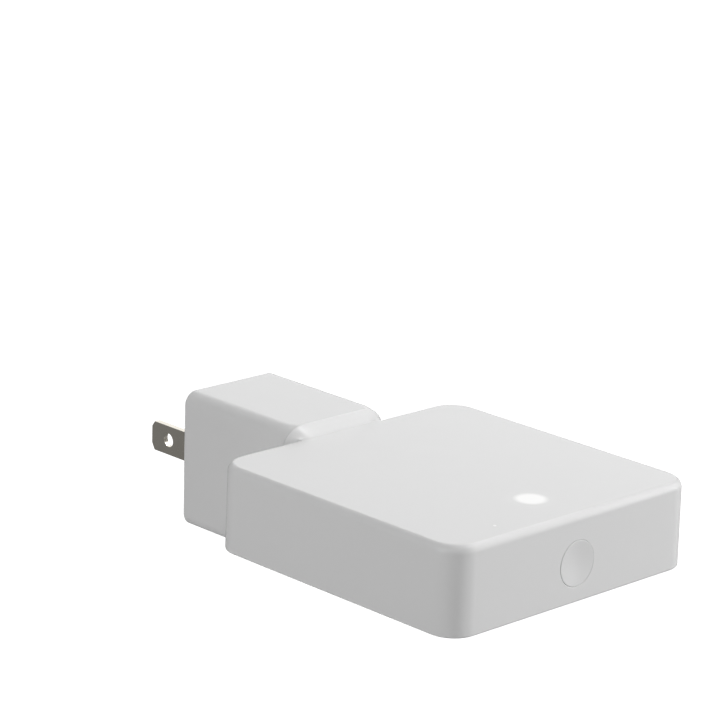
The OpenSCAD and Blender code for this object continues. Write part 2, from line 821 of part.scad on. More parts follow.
// Taped coil round the core's middle leg
module transformer_winding() color([0.9, 0.8, 0.25]) difference() {
    translate([trafo_at[0], trafo_at[1], power_top + bobbin_size[2] + core_yoke])
        linear_extrude(core_size[2] - 2 * core_yoke) round_rect(winding_w, winding_d, 2);
    block(trafo_at, core_size - [2 * (core_side + 3.1), 0, 0] + [0, 0, past], power_top + bobbin_size[2]);
}

module y_capacitor() color([0.2, 0.4, 0.75]) {
    along_y(y_cap_r, y_cap_at[1] - y_cap_t / 2, y_cap_t, x = y_cap_at[0], z = power_top + y_cap_r + 2 * solder);
    for (x = [-y_cap_pin, y_cap_pin])
        translate([y_cap_at[0] + x, y_cap_at[1], power_top]) cylinder(r = wire_r, h = y_cap_r);
}

module output_diode() color([0.12, 0.12, 0.13]) {
    along_x(diode_r, diode_l, diode_at, power_top + diode_r + solder);
    for (end = [-1, 1]) translate([diode_at[0] + end * (diode_l / 2 - wire_r), diode_at[1], power_top])
        cylinder(r = wire_r, h = diode_r);
}

module output_capacitor() color([0.2, 0.22, 0.3]) can(output_cap_at, output_cap_r, output_cap_h, power_top);

module dc_lead_red() color([0.75, 0.1, 0.1]) strand(red_route, dc_r);

module dc_lead_black() color([0.1, 0.1, 0.1]) strand(black_route, dc_r);

module dc_connector() color([0.92, 0.9, 0.85]) block(dc_at, dc_size, board_top);

module insulation_sheet() color([0.85, 0.85, 0.8])
    block([0, (power_back + power_front) / 2], sheet_size, neck_floor);

main_shell();
bottom_cover();
plug_base();
plug_blade_left();
plug_blade_right();
blade_leads();
case_screws();
rating_label();
wps_button();
wps_switch_body();
wps_switch_plunger();
reset_switch_body();
reset_switch_plunger();
light_guide();
status_led();
main_pcb();
shield_frame();
shield_lid();
wifi_processor();
memory_chip();
flash_chip();
clock_crystal();
power_inductor();
tank_capacitor();
ceramic_capacitors();
processor_thermal_pad();
heatsink_thermal_pad();
heatsink();
antenna_left();
antenna_right();
antenna_leads();
antenna_connectors();
power_pcb();
fusible_resistor();
varistor();
input_choke();
bridge_rectifier();
input_capacitors();
transformer_bobbin();
transformer_winding();
transformer_core();
controller_chip();
y_capacitor();
output_diode();
output_capacitor();
dc_lead_red();
dc_lead_black();
dc_connector();
insulation_sheet();
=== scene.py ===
import json
import math

import bmesh
import bpy
from mathutils import Matrix, Vector


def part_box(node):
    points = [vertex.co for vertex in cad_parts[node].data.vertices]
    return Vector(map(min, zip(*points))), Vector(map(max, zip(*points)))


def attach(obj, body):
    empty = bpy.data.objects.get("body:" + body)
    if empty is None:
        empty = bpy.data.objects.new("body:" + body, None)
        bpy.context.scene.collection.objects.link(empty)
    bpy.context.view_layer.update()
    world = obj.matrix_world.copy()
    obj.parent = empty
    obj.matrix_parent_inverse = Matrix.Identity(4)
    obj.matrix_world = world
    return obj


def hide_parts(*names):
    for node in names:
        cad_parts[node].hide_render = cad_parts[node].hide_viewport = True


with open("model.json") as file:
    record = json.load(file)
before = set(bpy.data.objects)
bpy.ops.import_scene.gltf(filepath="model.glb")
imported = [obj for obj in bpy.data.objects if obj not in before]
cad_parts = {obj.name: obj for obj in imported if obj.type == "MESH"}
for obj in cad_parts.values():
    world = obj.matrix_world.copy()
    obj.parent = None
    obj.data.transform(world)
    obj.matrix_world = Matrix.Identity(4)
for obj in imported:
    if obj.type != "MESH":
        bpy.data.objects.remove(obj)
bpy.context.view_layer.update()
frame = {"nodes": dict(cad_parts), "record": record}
MM = 0.001
WELD = 1e-7             # vertices closer than this, in metres, become one
SHARP_DEGREES = 32      # edges that turn more than this stay sharp


def box_mm(node):
    """A CAD node's lowest and highest corners in mm."""
    return tuple(tuple(c / MM for c in corner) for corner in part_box(node))


def middle(lo, hi):
    """The point halfway between two corners."""
    return tuple((a + b) / 2 for a, b in zip(lo, hi))


# ---- dimensions, in mm, as in the CAD ----
_, FRONT_Y, _ = box_mm("main_shell")[0]
BOX_HALF_W, _, NECK_TOP = box_mm("main_shell")[1]
NECK_BOTTOM = -NECK_TOP
BACK_Y = -32.8          # the box's back face, which is the neck's length from the wall
MID_Y = (FRONT_Y + BACK_Y) / 2
BOX_HALF_D = (BACK_Y - FRONT_Y) / 2
TOP_Z = 12.3
BOTTOM_Z = -5.5
WALL = 1.6
CEILING_Z = TOP_Z - WALL
CORNER_R = 5.6
DRAFT = 0.15            # how far the box's sides lean in on their way up
BOW = 0.03              # how far the box's sides bulge in plan
FOOT_R = 0.5            # the lower edge's radius
EDGE_IN = 1.15          # the top's round edge: how far it comes in, and how far it comes down
EDGE_DROP = 1.7
CORNER_SOFTEN = 0.9     # how much rounder the corners are at the top than halfway down
RIM_FLAT = 1.5          # flat ring just inside the box's round edges
NECK_HALF_W = 12.75
NECK_IN = NECK_HALF_W - WALL
BUTTON_Z = TOP_Z - 9.9
BUTTON_HOLE_R = 4.64
LAMP_X, LAMP_Y = middle(*box_mm("light_guide"))[:2]
GAP = 0.15              # seam between the cover, or the label, and what is round it
SINK = 0.4              # how deep ribs and bosses run into the walls they stand on
SCREWS = [(side * 24.0, y) for side in (-1, 1) for y in (FRONT_Y + 10.5, BACK_Y - 9.2)]
PILOT_R = 0.95
SCREW_SHANK_BORE_R = 1.3
SCREW_HEAD_BORE_R = 2.3
BLADE_W = 6.35
BLADE_T = 1.5
BLADE_PITCH = 12.7
BLADE_HOLE_R = 1.5
BLADE_HOLE_Y = 11.7
BLADE_NECK_Y = -5.0     # behind this the blade is narrow, where its lead is joined
PLUG_BASE_T = 2.4
LABEL_R = 1.0


# ---- mesh helpers; all lengths in mm ----
def smoothstep(a, b, x):
    """0 at a, 1 at b, and an even curve between; a may be the larger one."""
    t = min(1.0, max(0.0, (x - a) / (b - a)))
    return t * t * (3 - 2 * t)


def arc(cx, cy, r, a0, a1, steps):
    """Points of an arc from angle a0 to a1 in degrees, both ends included."""
    return [(cx + r * math.cos(math.radians(a0 + (a1 - a0) * i / steps)),
             cy + r * math.sin(math.radians(a0 + (a1 - a0) * i / steps))) for i in range(steps + 1)]


def round_rect(hw, hd, r, corner_steps=10, side_steps=1, bow=0.0):
    """Rounded rectangle about the origin, counterclockwise, its straight sides split and bowed outwards by bow."""
    a, b = hw - r, hd - r
    corners = [arc(a, b, r, 0, 90, corner_steps), arc(-a, b, r, 90, 180, corner_steps),
               arc(-a, -b, r, 180, 270, corner_steps), arc(a, -b, r, 270, 360, corner_steps)]
    points = []
    for k, c in enumerate(corners):
        points += c
        (x0, y0), (x1, y1) = c[-1], corners[(k + 1) % 4][0]
        nx, ny = [(0, 1), (-1, 0), (0, -1), (1, 0)][k]
        for i in range(1, side_steps):
            t = i / side_steps
            bulge = bow * (1 - (2 * t - 1) ** 2)
            points.append((x0 + (x1 - x0) * t + nx * bulge, y0 + (y1 - y0) * t + ny * bulge))
    return points


def quarter(steps):
    """(sine, 1 - cosine) of the angles of a quarter circle, for a round edge."""
    return [(math.sin(a), 1 - math.cos(a)) for a in (math.radians(90 * i / steps) for i in range(steps + 1))]


def on_axis(axis, u, v, along):
    """Point at (u, v) across an axis, and at along on it."""
    return {"X": (along, u, v), "Y": (u, along, v), "Z": (u, v, along)}[axis]


def loft_mesh(rings):
    """Closed mesh through rings of points of equal count, capped at both ends."""
    bm = bmesh.new()
    rows = [[bm.verts.new((p[0] * MM, p[1] * MM, p[2] * MM)) for p in ring] for ring in rings]
    n = len(rows[0])
    for a, b in zip(rows, rows[1:]):
        for i in range(n):
            j = (i + 1) % n
            bm.faces.new((a[i], a[j], b[j], b[i]))
    bm.faces.new(list(reversed(rows[0])))
    bm.faces.new(rows[-1])
    bmesh.ops.recalc_face_normals(bm, faces=bm.faces)
    return bm


def revolve(profile, at, axis="Y", segments=64):
    """Closed mesh of revolution. profile is (radius, distance along the axis); at is the axis's zero point."""
    turns = [2 * math.pi * i / segments for i in range(segments)]
    rings = [[tuple(a + b for a, b in zip(at, on_axis(axis, r * math.cos(t), r * math.sin(t), along))) for t in turns]
             for r, along in profile]
    bm = loft_mesh(rings)
    bmesh.ops.remove_doubles(bm, verts=bm.verts, dist=WELD)
    bmesh.ops.recalc_face_normals(bm, faces=bm.faces)
    return bm


def tube(r, t0, t1, at, axis="Z", segments=48):
    """Plain cylinder, for bosses and bores."""
    return revolve([(0, t0), (r, t0), (r, t1), (0, t1)], at, axis, segments)


def slab(lo, hi, edge=0.0):
    """Box from lo to hi with all its edges rounded by edge."""
    bm = bmesh.new()
    bmesh.ops.create_cube(bm, size=1)
    for v in bm.verts:
        for k in range(3):
            v.co[k] = (lo[k] if v.co[k] < 0 else hi[k]) * MM
    if edge > 0:
        bmesh.ops.bevel(bm, geom=list(bm.edges) + list(bm.verts), offset=edge * MM, segments=3,
                        affect="EDGES", profile=0.5)
    bmesh.ops.recalc_face_normals(bm, faces=bm.faces)
    return bm


def rib(x0, x1, y0, y1, z0, z1, edge):
    """Slab whose x0 and x1 may be in either order, for shapes on both sides."""
    return slab((min(x0, x1), y0, z0), (max(x0, x1), y1, z1), edge)


def prism(outline, t0, t1, axis="Z", edge=0.0, steps=2):
    """Outline extruded from t0 to t1 along an axis, its end rims rounded by edge."""
    bm = loft_mesh([[on_axis(axis, u, v, t) for u, v in outline] for t in (t0, t1)])
    if edge > 0:
        rims = [e for e in bm.edges if e.calc_face_angle(0) > 0.7
                and len({f for f in e.link_faces if len(f.verts) > 4}) == 1]
        bmesh.ops.bevel(bm, geom=rims, offset=edge * MM, segments=steps, affect="EDGES", profile=0.5)
        bmesh.ops.recalc_face_normals(bm, faces=bm.faces)
    return bm


def merged(*parts):
    """One bmesh holding all the parts."""
    out = bmesh.new()
    for bm in parts:
        mesh = bpy.data.meshes.new("part")
        bm.to_mesh(mesh)
        bm.free()
        out.from_mesh(mesh)
        bpy.data.meshes.remove(mesh)
    return out


def scene_object(bm, name="scratch"):
    """Turns a bmesh into an object in the scene."""
    mesh = bpy.data.meshes.new(name)
    bm.to_mesh(mesh)
    bm.free()
    obj = bpy.data.objects.new(name, mesh)
    bpy.context.scene.collection.objects.link(obj)
    return obj


def boolean(bm, operation, other):
    """One exact boolean, with the doubles that it leaves merged."""
    obj, tool = scene_object(bm), scene_object(other)
    mod = obj.modifiers.new("cut", "BOOLEAN")
    mod.operation, mod.solver, mod.object = operation, "EXACT", tool
    bpy.context.view_layer.update()
    mesh = bpy.data.meshes.new_from_object(obj.evaluated_get(bpy.context.evaluated_depsgraph_get()))
    out = bmesh.new()
    out.from_mesh(mesh)
    for o in (obj, tool):
        data = o.data
        bpy.data.objects.remove(o)
        bpy.data.meshes.remove(data)
    bpy.data.meshes.remove(mesh)
    bmesh.ops.remove_doubles(out, verts=out.verts, dist=WELD)
    bmesh.ops.dissolve_degenerate(out, dist=WELD / 10, edges=out.edges)
    return out


def combine(bm, steps):
    """Applies exact booleans in turn. steps is a list of (operation, bmesh)."""
    for operation, other in steps:
        bm = boolean(bm, operation, other)
    return bm


def piece(name, bm, body, slot, node):
    """Makes the finished object in the place of a CAD node: smooth faces, sharp edges, body, slot and material."""
    for f in bm.faces:
        f.smooth = True
    for e in bm.edges:
        e.smooth = len(e.link_faces) == 2 and e.calc_face_angle(0) < math.radians(SHARP_DEGREES)
    obj = scene_object(bm, name)
    obj.data.materials.append(MATERIALS[slot])
    mod = obj.modifiers.new("normals", "WEIGHTED_NORMAL")
    mod.keep_sharp = True
    mod.weight = 60
    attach(obj, body)
    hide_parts(node)
    return obj


# ---- materials ----
class Graph:
    """Small helper that builds a node material."""

    def __init__(self, name):
        self.mat = bpy.data.materials.new(name)
        self.mat.use_nodes = True
        self.tree = self.mat.node_tree
        self.tree.nodes.clear()
        self.out = self.node("ShaderNodeOutputMaterial")
        self.bsdf = self.node("ShaderNodeBsdfPrincipled")
        self.tree.links.new(self.bsdf.outputs[0], self.out.inputs[0])
        self.coords = self.node("ShaderNodeTexCoord").outputs["Object"]

    def node(self, kind, **inputs):
        n = self.tree.nodes.new(kind)
        for k, v in inputs.items():
            self.put(n, k.replace("_", " "), v)
        return n

    def put(self, node, socket, value):
        s = node.inputs[int(socket) if str(socket).isdigit() else socket]
        if isinstance(value, bpy.types.NodeSocket):
            self.tree.links.new(value, s)
        else:
            s.default_value = value

    def set(self, **values):
        for k, v in values.items():
            self.put(self.bsdf, k.replace("_", " "), v)

    def math(self, op, a, b=0.0):
        n = self.node("ShaderNodeMath")
        n.operation = op
        for i, v in enumerate((a, b)):
            self.put(n, i, v)
        return n.outputs[0]

    def noise(self, scale, detail=2.0, rough=0.5, vector=None):
        n = self.node("ShaderNodeTexNoise", Scale=scale, Detail=detail, Roughness=rough)
        self.put(n, "Vector", vector or self.coords)
        return n.outputs["Fac"]

    def stretch(self, x, y, z):
        n = self.node("ShaderNodeMapping", Scale=(x, y, z))
        self.put(n, "Vector", self.coords)
        return n.outputs[0]

    def ramp(self, fac, low, high, from_min=0.0, from_max=1.0, shape="LINEAR"):
        n = self.node("ShaderNodeMapRange")
        n.interpolation_type = shape
        for k, v in (("Value", fac), ("From Min", from_min), ("From Max", from_max), ("To Min", low), ("To Max", high)):
            self.put(n, k, v)
        n.clamp = True
        return n.outputs[0]

    def mix(self, fac, a, b):
        n = self.node("ShaderNodeMix")
        n.data_type = "RGBA"
        self.put(n, 0, fac)
        for s, v in ((6, a), (7, b)):
            if isinstance(v, (tuple, list)):
                v = tuple(v) + (1.0,) * (4 - len(v))
            self.put(n, s, v)
        return n.outputs[2]

    def bump(self, height, strength, distance):
        n = self.node("ShaderNodeBump", Strength=strength, Distance=distance, Height=height)
        self.put(self.bsdf, "Normal", n.outputs[0])


def shade(colour, factor):
    """Colour made darker or lighter by a factor, and never over 1."""
    return tuple(min(1.0, c * factor) for c in colour)


def plastic(name, colour, rough, grain=9000.0, grain_depth=0.006, mottle=0.012):
    """Moulded plastic: fine spark-eroded grain, slight flow mottle in colour and gloss."""
    g = Graph(name)
    flow = g.noise(90.0, 3.0, 0.55)
    g.set(Base_Color=g.mix(g.ramp(flow, 0, 1, 0.2, 0.8), shade(colour, 1 - mottle * 3), shade(colour, 1 + mottle)),
          Roughness=g.ramp(flow, rough * 0.94, rough * 1.06, 0.2, 0.8), IOR=1.5)
    g.bump(g.noise(grain, 2.0, 0.6), 0.5, grain_depth * MM)
    return g


def metal(name, colour, rough, brush=(1, 1, 1)):
    """Metal with fine brushing; brush stretches the pattern along the axis with the small number."""
    g = Graph(name)
    fine = g.noise(1500.0, 3.0, 0.6, g.stretch(*brush))
    broad = g.noise(250.0, 3.0, 0.5)
    g.set(Metallic=1.0, Base_Color=g.mix(g.ramp(broad, 0, 1, 0.35, 0.65), shade(colour, 0.97), colour),
          Roughness=g.ramp(fine, rough * 0.92, rough * 1.1, 0.3, 0.7))
    g.bump(fine, 0.25, 0.004 * MM)
    return g


def matte(name, colour, rough=0.6, spots=700.0, depth=0.01, variation=0.15):
    """Sintered, moulded or coated parts with a speckled surface."""
    g = Graph(name)
    speckle = g.noise(spots, 4.0, 0.65)
    g.set(Base_Color=g.mix(g.ramp(speckle, 0, 1, 0.3, 0.7), shade(colour, 1 - variation), shade(colour, 1 + variation)),
          Roughness=g.ramp(speckle, rough * 0.85, min(1.0, rough * 1.15), 0.3, 0.7))
    g.bump(speckle, 0.5, depth * MM)
    return g


SHELL_WHITE = (0.765, 0.765, 0.765)
SHELL_ROUGH = 0.26
SHELL_MOTTLE = 0.0015
# Strength of the glow painted as emission on the shell's top over the light guide, in place of the lamp's light through
# the skin.
PAINTED_GLOW_STRENGTH = 0.215


def shell_material():
    """White ABS; the lamp's light through its thinned skin over the light guide is painted on as a glow, with a faint
    painted halo round it.
    """
    g = plastic("Shell_White_ABS", SHELL_WHITE, SHELL_ROUGH, grain=7000.0, grain_depth=0.003, mottle=SHELL_MOTTLE)
    split = g.node("ShaderNodeSeparateXYZ")
    g.put(split, 0, g.coords)
    # Painted glow: emission on the shell's top over the light guide stands in for the lamp's light through the thin
    # skin, with a faint painted halo round it.
    dx, dy = (g.math("SUBTRACT", split.outputs[k], centre * MM) for k, centre in ((0, LAMP_X), (1, LAMP_Y)))
    across = g.math("SQRT", g.math("ADD", g.math("MULTIPLY", dx, dx), g.math("MULTIPLY", dy, dy)))
    spot = g.ramp(across, 1.0, 0.0, 2.1 * MM, 3.9 * MM, "SMOOTHSTEP")
    halo = g.ramp(across, 0.06, 0.0, 3.0 * MM, 5.5 * MM)
    on_top = g.math("GREATER_THAN", split.outputs[2], (TOP_Z - 0.2) * MM)
    painted_glow = g.math("MULTIPLY", g.math("MAXIMUM", spot, halo), on_top)
    g.set(Emission_Color=(1.0, 0.995, 0.98, 1.0), Emission_Strength=g.math("MULTIPLY", painted_glow, PAINTED_GLOW_STRENGTH))
    return g.mat


def board_material(name, mask, copper, rough=0.35, cell=900.0):
    """Printed board: solder mask with lighter tracks, vias and tinned pads in a generic pattern."""
    g = Graph(name)
    brick = g.node("ShaderNodeTexVoronoi", Scale=cell)
    brick.distance = "MANHATTAN"
    brick.feature = "DISTANCE_TO_EDGE"
    g.put(brick, "Vector", g.stretch(1, 1, 0.0))
    tracks = g.ramp(brick.outputs[0], 1.0, 0.0, 0.05, 0.12)
    vias = g.node("ShaderNodeTexVoronoi", Scale=cell * 0.55)
    g.put(vias, "Vector", g.stretch(1, 1, 0.0))
    dots = g.ramp(vias.outputs[0], 1.0, 0.0, 0.12, 0.16)
    base = g.mix(g.math("MULTIPLY", tracks, 0.6), mask, copper)
    g.set(Base_Color=g.mix(dots, base, (0.62, 0.6, 0.55)), Roughness=g.ramp(dots, rough, 0.25))
    g.bump(g.math("MAXIMUM", tracks, dots), 0.6, 0.02 * MM)
    return g.mat


def glass_material():
    """Clear acrylic with a slight haze."""
    g = Graph("Light_Guide_Clear")
    haze = g.noise(2500.0, 3.0)
    g.set(Base_Color=(0.95, 0.97, 1.0, 1.0), Roughness=g.ramp(haze, 0.05, 0.14, 0.3, 0.7), IOR=1.49)
    g.bsdf.inputs["Transmission Weight"].default_value = 1.0
    g.bump(haze, 0.2, 0.01 * MM)
    return g.mat


MATERIALS = {
    "white_shell": shell_material(),
    "white_cover": plastic("Cover_White_ABS", (0.75, 0.75, 0.75), 0.48, grain=5000.0, grain_depth=0.012).mat,
    "white_button": plastic("Button_White_ABS", SHELL_WHITE, SHELL_ROUGH, grain_depth=0.003, mottle=SHELL_MOTTLE).mat,
    "plug_base_plastic": plastic("Plug_Base_PC", (0.73, 0.73, 0.72), 0.42, grain=4500.0, grain_depth=0.012).mat,
    "nickel_blade": metal("Blade_Nickel", (0.78, 0.74, 0.66), 0.24, brush=(1, 0.06, 1)).mat,
    "screw_steel": metal("Screw_Zinc", (0.55, 0.55, 0.57), 0.32).mat,
    "label": plastic("Label_Film", (0.66, 0.67, 0.68), 0.38, grain=2500.0, grain_depth=0.004).mat,
    "white_wire": plastic("Wire_White", (0.72, 0.72, 0.71), 0.45).mat,
    "black_wire": plastic("Wire_Black", (0.03, 0.03, 0.03), 0.42).mat,
    "red_wire": plastic("Wire_Red", (0.55, 0.03, 0.02), 0.42).mat,
    "black_plastic": plastic("Moulded_Black", (0.03, 0.03, 0.033), 0.45, grain=3000.0, grain_depth=0.02).mat,
    "chip_epoxy": matte("Chip_Epoxy", (0.025, 0.025, 0.028), 0.55, spots=6000.0).mat,
    "white_plastic_part": plastic("Nylon_Natural", (0.72, 0.69, 0.6), 0.42).mat,
    "led_package": plastic("Led_Package", (0.85, 0.82, 0.6), 0.35).mat,
    "green_board": board_material("Board_Green", (0.012, 0.12, 0.045), (0.05, 0.25, 0.09)),
    "brown_board": board_material("Board_Brown", (0.42, 0.27, 0.1), (0.5, 0.36, 0.16), rough=0.55, cell=420.0),
    "tin_shield": metal("Tin_Sheet", (0.72, 0.72, 0.72), 0.3, brush=(0.08, 1, 1)).mat,
    "heatsink_aluminium": metal("Heatsink_Aluminium", (0.78, 0.79, 0.8), 0.36, brush=(1, 0.06, 1)).mat,
    "thermal_pad": matte("Thermal_Pad", (0.22, 0.34, 0.48), 0.75, spots=3000.0, depth=0.03).mat,
    "ceramic_tan": matte("Ceramic_Tan", (0.4, 0.24, 0.12), 0.5, spots=4000.0).mat,
    "ferrite": matte("Ferrite", (0.035, 0.035, 0.04), 0.5, spots=2500.0, depth=0.02).mat,
    "yellow_tape": matte("Tape_Yellow", (0.78, 0.52, 0.03), 0.32, spots=500.0, depth=0.03, variation=0.06).mat,
    "gold_contact": metal("Gold_Contact", (0.85, 0.62, 0.25), 0.25).mat,
    "can_sleeve": matte("Can_Sleeve", (0.02, 0.025, 0.06), 0.28, spots=300.0, depth=0.01).mat,
    "resistor_coat": matte("Resistor_Coat", (0.18, 0.4, 0.34), 0.5, spots=3000.0, depth=0.02).mat,
    "blue_epoxy": matte("Blue_Epoxy", (0.02, 0.1, 0.42), 0.25, spots=500.0, depth=0.05).mat,
    "clear_film": plastic("Insulating_Film", (0.7, 0.7, 0.62), 0.25).mat,
    "light_guide_clear": glass_material(),
}


# ---- case ----
def box_rings():
    """Rings of the box from its bottom up: round edges, a slight draft towards the top and bowed sides."""
    levels = [(FOOT_R + RIM_FLAT, BOTTOM_Z, 0)]
    levels += [(FOOT_R * (1 - sine), BOTTOM_Z + FOOT_R * drop, 0) for sine, drop in quarter(5)]
    for t in (0.25, 0.5, 0.75):
        levels.append((DRAFT * t, BOTTOM_Z + FOOT_R + (TOP_Z - BOTTOM_Z - FOOT_R - EDGE_DROP) * t, 0))
    levels += [(DRAFT + EDGE_IN * drop, TOP_Z - EDGE_DROP * (1 - sine), drop) for sine, drop in quarter(14)]
    levels.append((DRAFT + EDGE_IN + RIM_FLAT, TOP_Z, 1))
    rings = []
    for inset, z, soft in levels:
        r = CORNER_R - inset + CORNER_SOFTEN * soft
        outline = round_rect(BOX_HALF_W - BOW - inset, BOX_HALF_D - BOW - inset, r, 16, 12, BOW)
        rings.append([(x, y + MID_Y, z) for x, y in outline])
    return rings


# Stations along the neck as far as the rim of the rise to the box: y, half width, top, corner radius
NECK_STATIONS = [
    (0.0, 12.4, 14.2, 2.6), (-0.1, 12.58, 14.38, 2.7), (-0.35, 12.75, 14.55, 2.8),
    (-12.0, 12.72, 14.53, 2.8), (-24.0, 12.68, 14.5, 2.8), (-28.0, 12.68, 14.48, 2.8),
    (-29.6, 12.72, 14.47, 3.0), (-30.3, 12.85, 14.46, 3.5), (-30.7, 13.15, 14.47, 4.2),
    (-30.95, 13.55, 14.48, 4.9), (-31.12, 13.9, 14.5, 5.4), (-31.25, 14.0, 14.46, 5.5)]
RIM_Y = NECK_STATIONS[-1][0]
NECK_LOW_Z = -4.6       # below this the neck stops at the box's back
NECK_TILT = 0.05        # how much narrower the neck is below the box than above it
WALL_ROUND = 0.35       # length of the neck's round rim at the wall
FRONT_ROUND = 1.2       # radius of the neck's front edge below the box
RISE_FOOT = 2.45        # how far the rise runs forward over the box's top
RISE_END = 0.9          # how much less far it runs at its two ends
RISE_TUCK = 0.4         # how much further it runs below the box's top
RISE_INWARDS = 1.9      # how far its two ends come in towards the middle on their way down
RISE_EASE = 0.15        # share of its fall that eases in and out; the rest is straight
RISE_STEPS = (0.06, 0.15, 0.27, 0.4, 0.53, 0.66, 0.78, 0.88, 0.95, 1.0)


def neck_ring(y, hw, top, r):
    """One ring of the neck in the XZ plane. Below the box's underside it stays straight and its front edge is round."""
    d = min(1.0, max(0.0, (BACK_Y + FRONT_ROUND - y) / FRONT_ROUND))
    inset = FRONT_ROUND * (1 - math.sqrt(max(0.0, 1 - d * d)))
    end_inset = max(0.0, NECK_TOP - top) if y > -WALL_ROUND else 0.0
    low_hw = NECK_HALF_W - NECK_TILT - inset - end_inset
    points = []
    for x, z in round_rect(hw, (NECK_TOP - NECK_BOTTOM) / 2, r, 14, 16):
        z += smoothstep(2.0, 9.0, z) * (top - NECK_TOP)
        low = 1 - smoothstep(-6.5, -1.0, z)
        x = x * (1 - low) + x * low_hw / hw * low
        if low >= 1:
            z += (inset + end_inset) * smoothstep(-10.0, -14.0, z)
        points.append((x, y, z))
    return points


def rise_ring(rim, t):
    """Ring between the rim (t = 0), the foot of the rise on the box's top (t = 1) and inside the box (t = 2)."""
    run = min(1.0, t)
    drop = (1 - RISE_EASE) * run + RISE_EASE * smoothstep(0.0, 1.0, run)
    low_ring = neck_ring(RIM_Y + (BACK_Y - RIM_Y) * run, *NECK_STATIONS[-1][1:])
    flat = TOP_Z - 0.01
    out = []
    for (x, y, z), (lx, ly, lz) in zip(rim, low_ring):
        end = smoothstep(7.0, 13.2, abs(x))
        inwards = RISE_INWARDS * end * smoothstep(5.0, 11.0, z)
        foot = (x - math.copysign(1.0, x) * inwards,
                RIM_Y - RISE_FOOT + RISE_END * end - RISE_TUCK * smoothstep(flat, 7.5, z), min(z, flat))
        p = [x + (foot[0] - x) * run, y + (foot[1] - y) * run, z + (foot[2] - z) * drop]
        high = smoothstep(-5.0, 0.0, z)
        p = [high * a + (1 - high) * b for a, b in zip(p, (lx, ly, lz))]
        if t > 1:
            p[1] += (BACK_Y - WALL - 0.5 - p[1]) * (t - 1)
        out.append(tuple(p))
    return out


def neck_form():
    """Closed mesh of the neck. The upper part of its rings runs on into the box; the rest ends at the box's back."""
    rings = [neck_ring(*s) for s in NECK_STATIONS]
    rim = rings[-1]
    rings += [rise_ring(rim, t) for t in RISE_STEPS]
    whole = len(rings) - 1
    rings += [rise_ring(rim, 1.5), rise_ring(rim, 2.0)]
    n = len(rim)
    upper = [rings[0][i][2] > NECK_LOW_Z for i in range(n)]
    start = next(i for i in range(n) if upper[i] and not upper[i - 1])
    order = [(start + i) % n for i in range(n)]
    count = sum(upper)
    bm = bmesh.new()
    rows = []
    for k, ring in enumerate(rings):
        keep = n if k <= whole else count
        rows.append([bm.verts.new([c * MM for c in ring[order[i]]]) for i in range(keep)])
    for k in range(len(rows) - 1):
        a, b = rows[k], rows[k + 1]
        if k + 1 <= whole:
            for i in range(n):
                j = (i + 1) % n
                bm.faces.new((a[i], a[j], b[j], b[i]))
        else:
            for i in range(count - 1):
                bm.faces.new((a[i], a[i + 1], b[i + 1], b[i]))
            bm.faces.new((a[count - 1], a[0], b[0], b[count - 1]))
    bm.faces.new(rows[whole][count - 1:] + [rows[whole][0]])
    bm.faces.new(rows[0])
    bm.faces.new(rows[-1])
    bmesh.ops.recalc_face_normals(bm, faces=bm.faces)
    return bm


def outer_form():
    """The whole outer shape of box and neck, solid."""
    return combine(loft_mesh(box_rings()), [("UNION", neck_form())])


def inner_panel(inset):
    """The box's outline in plan, smaller by inset."""
    return [(x, y + MID_Y) for x, y in round_rect(BOX_HALF_W - inset, BOX_HALF_D - inset, CORNER_R - inset)]


def hollow():
    """Space inside the shell, open at the underside and at the wall end."""
    low, ceiling = NECK_BOTTOM - 2, CEILING_Z - 0.01
    throat = [(2, low), (2, NECK_TOP - WALL), (BACK_Y + WALL, NECK_TOP - WALL), (BACK_Y + WALL, ceiling),
              (BACK_Y - WALL - 1, ceiling), (BACK_Y - WALL - 1, low)]
    return [prism(inner_panel(WALL), BOTTOM_Z - 2, CEILING_Z), prism(throat, -NECK_IN, NECK_IN, "X")]


def shell_details():
    """Screw bosses, lamp collar, button guide, antenna ribs and board ledges, which sink a little into the walls."""
    roof = CEILING_Z + SINK
    parts = [tube(2.6, -0.9, roof, (x, y, 0), "Z", 40) for x, y in SCREWS]
    parts.append(tube(4.0, CEILING_Z - 2.3, roof, (LAMP_X, LAMP_Y, 0)))
    parts.append(tube(6.9, FRONT_Y + WALL - SINK, FRONT_Y + WALL + 2, (0, 0, BUTTON_Z), "Y", 64))
    (antenna_x, antenna_front, _), (_, antenna_back, _) = box_mm("antenna_right")
    (_, board_front, _), (_, board_back, board_top) = box_mm("power_pcb")
    for side in (-1, 1):
        for y in (antenna_front + 1, antenna_back - 3):
            x = side * (antenna_x - 1.1)
            parts.append(rib(x, x + side * 0.9, y, y + 2, CEILING_Z - 4.7, roof, 0.15))
    for side in (-1, 1):
        for y in (board_back - 2.5, board_front - 0.5):
            parts.append(rib(side * (NECK_IN + SINK), side * (NECK_IN - 1), y, y + 3,
                             board_top + 0.15, board_top + 1.35, 0.12))
    return merged(*parts)


def shell_bores():
    """Pilot holes for the screws, and the lamp's pocket, which leaves a thin skin."""
    parts = [tube(PILOT_R, -2.0, 4.1, (x, y, 0), "Z", 32) for x, y in SCREWS]
    parts.append(tube(3.0, CEILING_Z - 4, TOP_Z - 0.8, (LAMP_X, LAMP_Y, 0)))
    return merged(*parts)


def button_cutter():
    """Hole in the front with a shallow round lip."""
    lip, depth = 0.34, 0.12
    outer = BUTTON_HOLE_R + lip
    profile = [(0, -3.0), (outer + 0.3, -3.0), (outer + 0.3, 0.0)]
    profile += [(outer - lip * sine, 0.02 + depth * drop) for sine, drop in quarter(6)]
    profile += [(BUTTON_HOLE_R, WALL + 1), (0, WALL + 1)]
    return revolve(profile, (0, FRONT_Y, BUTTON_Z), "Y", 96)


